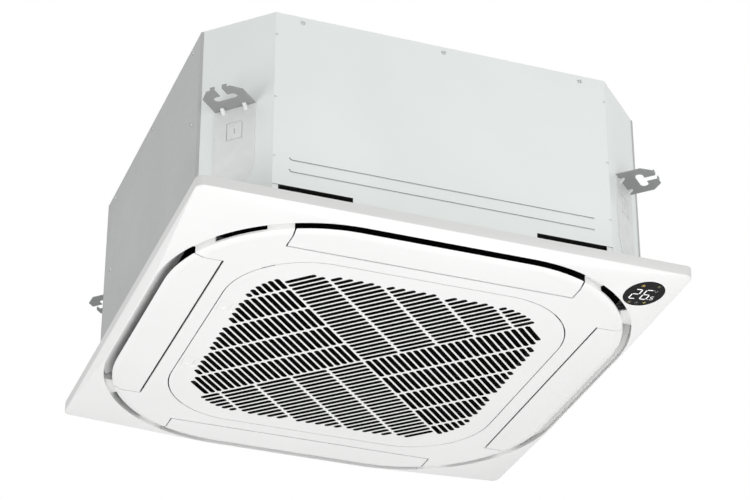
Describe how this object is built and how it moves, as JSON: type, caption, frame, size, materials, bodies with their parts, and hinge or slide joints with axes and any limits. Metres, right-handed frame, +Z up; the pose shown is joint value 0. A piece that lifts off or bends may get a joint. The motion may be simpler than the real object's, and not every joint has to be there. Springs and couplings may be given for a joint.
{
  "type": "ceiling cassette air conditioner",
  "caption": "Ceiling cassette air conditioner: sheet-metal body on corner hanger brackets, square panel with swinging louvers, a hinged slotted intake grille and a round display.",
  "frame": {"origin": "middle of the four hanger slots, level with the underside of the bracket plates", "axes": "+Z up towards the ceiling void, -Y out of the long side with two pressed lines seen in the picture, +X towards the side with the drain spigot and cable inlet"},
  "size_m": [0.95, 0.95, 0.452],
  "materials": {
    "sheet": "satin",
    "galvanised": "satin",
    "panel": "fine satin",
    "dark_foam": "matte",
    "grey_foam": "matte",
    "black_plastic": "matte",
    "fins": "satin",
    "copper": "satin",
    "brass": "satin",
    "motor": "satin",
    "fan": "satin",
    "rubber": "matte",
    "steel": "satin",
    "white_plastic": "satin",
    "orange_plastic": "satin",
    "board": "satin",
    "display": "glossy"
  },
  "bodies": {
    "housing": {"top_plate": "sheet", "front_panel": "sheet", "back_panel": "sheet", "left_panel": "sheet", "right_panel": "sheet", "front_left_corner": "sheet", "front_right_corner": "sheet", "back_right_corner": "sheet", "back_left_corner": "sheet", "front_left_hanger": "galvanised", "front_right_hanger": "galvanised", "back_right_hanger": "galvanised", "back_left_hanger": "galvanised", "casing_screws": "steel", "wall_lining": "grey_foam", "ceiling_lining": "grey_foam", "coil_fins": "fins", "coil_bends": "copper", "coil_end_plates": "galvanised", "gas_header": "copper", "distributor": "brass", "gas_pipe": "copper", "liquid_pipe": "copper", "pipe_unions": "brass", "pipe_cover": "galvanised", "fan_motor": "motor", "motor_mounts": "rubber", "motor_bolts": "steel", "bell_mouth": "black_plastic", "drain_pan": "dark_foam", "drain_plug": "rubber", "drain_pump": "white_plastic", "float_switch": "white_plastic", "drain_hose": "rubber", "drain_spigot": "white_plastic", "electrical_box": "galvanised", "electrical_cover": "galvanised", "circuit_board": "board", "cable_grommet": "rubber", "panel_frame": "panel", "air_guide": "dark_foam", "panel_seals": "grey_foam", "panel_bolts": "steel", "swing_motors": "motor", "display_window": "display"},
    "fan_rotor": {"turbo_fan": "fan", "motor_shaft": "steel", "fan_nut": "steel"},
    "front_louver": {"front_louver": "panel"},
    "right_louver": {"right_louver": "panel"},
    "back_louver": {"back_louver": "panel"},
    "left_louver": {"left_louver": "panel"},
    "grille": {"intake_grille": "panel", "grille_hinges": "panel", "filter_frame": "black_plastic", "filter_mesh": "black_plastic"},
    "front_latch": {"front_latch": "panel"},
    "back_latch": {"back_latch": "panel"},
    "pump_rotor": {"pump_impeller": "white_plastic"},
    "float": {"switch_float": "orange_plastic"}
  },
  "joints": [
    {"name": "fan_spin", "type": "hinge", "parent": "housing", "child": "fan_rotor", "pos_m": [0, 0, 0.03], "axis": [0, 0, 1], "continuous": true},
    {"name": "front_louver_swing", "type": "hinge", "parent": "housing", "child": "front_louver", "pos_m": [0, -0.384, -0.239], "axis": [1, 0, 0], "range_deg": [0, 45]},
    {"name": "right_louver_swing", "type": "hinge", "parent": "housing", "child": "right_louver", "pos_m": [0.384, 0, -0.239], "axis": [0, 1, 0], "range_deg": [0, 45]},
    {"name": "back_louver_swing", "type": "hinge", "parent": "housing", "child": "back_louver", "pos_m": [0, 0.384, -0.239], "axis": [-1, 0, 0], "range_deg": [0, 45]},
    {"name": "left_louver_swing", "type": "hinge", "parent": "housing", "child": "left_louver", "pos_m": [-0.384, 0, -0.239], "axis": [0, -1, 0], "range_deg": [0, 45]},
    {"name": "grille_hinge", "type": "hinge", "parent": "housing", "child": "grille", "pos_m": [0.35, 0, -0.249], "axis": [0, -1, 0], "range_deg": [0, 90]},
    {"name": "front_latch_slide", "type": "slide", "parent": "grille", "child": "front_latch", "axis": [1, 0, 0], "range_m": [0, 0.008], "stiffness_N_per_m": 300},
    {"name": "back_latch_slide", "type": "slide", "parent": "grille", "child": "back_latch", "axis": [1, 0, 0], "range_m": [0, 0.008], "stiffness_N_per_m": 300},
    {"name": "pump_spin", "type": "hinge", "parent": "housing", "child": "pump_rotor", "pos_m": [0.3, 0.3, -0.14], "axis": [0, 0, 1], "continuous": true},
    {"name": "float_rise", "type": "slide", "parent": "housing", "child": "float", "axis": [0, 0, 1], "range_m": [0, 0.012]}
  ]
}
